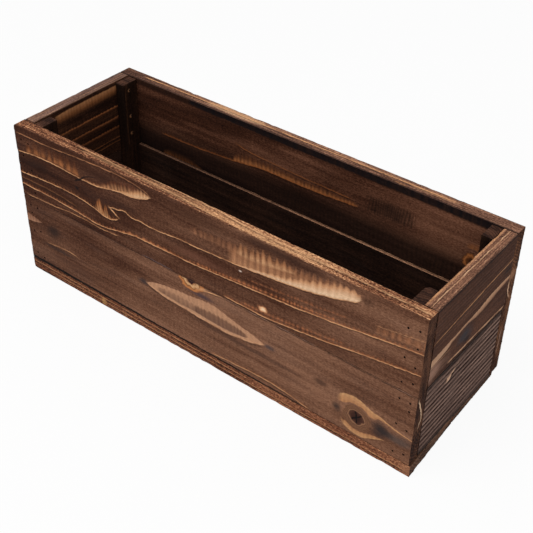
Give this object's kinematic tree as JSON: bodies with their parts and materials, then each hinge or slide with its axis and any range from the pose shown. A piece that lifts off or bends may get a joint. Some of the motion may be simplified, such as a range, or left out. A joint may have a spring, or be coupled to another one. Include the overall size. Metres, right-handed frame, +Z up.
{
  "type": "window box planter",
  "caption": "Long open-topped planter box of charred and brushed softwood boards, nailed to corner posts, for plants on a sill, step or floor.",
  "frame": {"origin": "centre of the footprint, on the surface that the bottom boards stand on", "axes": "+X along the length of the box, +Y from the front board to the back board, +Z up"},
  "size_m": [0.45, 0.152, 0.168],
  "materials": {
    "burnt_front": "charred and brushed, matt",
    "burnt_back": "charred and brushed, matt",
    "burnt_end": "charred and brushed, matt",
    "burnt_bottom": "rough sawn and scorched, matt",
    "burnt_post": "scorched, matt",
    "brad_steel": "dull bright wire"
  },
  "bodies": {
    "root": {"front_upper_board": "burnt_front", "front_lower_board": "burnt_front", "back_upper_board": "burnt_back", "back_lower_board": "burnt_back", "left_end_upper_board": "burnt_end", "left_end_lower_board": "burnt_end", "right_end_upper_board": "burnt_end", "right_end_lower_board": "burnt_end", "bottom_front_board": "burnt_bottom", "bottom_back_board": "burnt_bottom", "front_left_post": "burnt_post", "front_right_post": "burnt_post", "back_left_post": "burnt_post", "back_right_post": "burnt_post", "front_brads": "brad_steel", "back_brads": "brad_steel", "post_brads": "brad_steel", "bottom_brads": "brad_steel"}
  },
  "joints": []
}
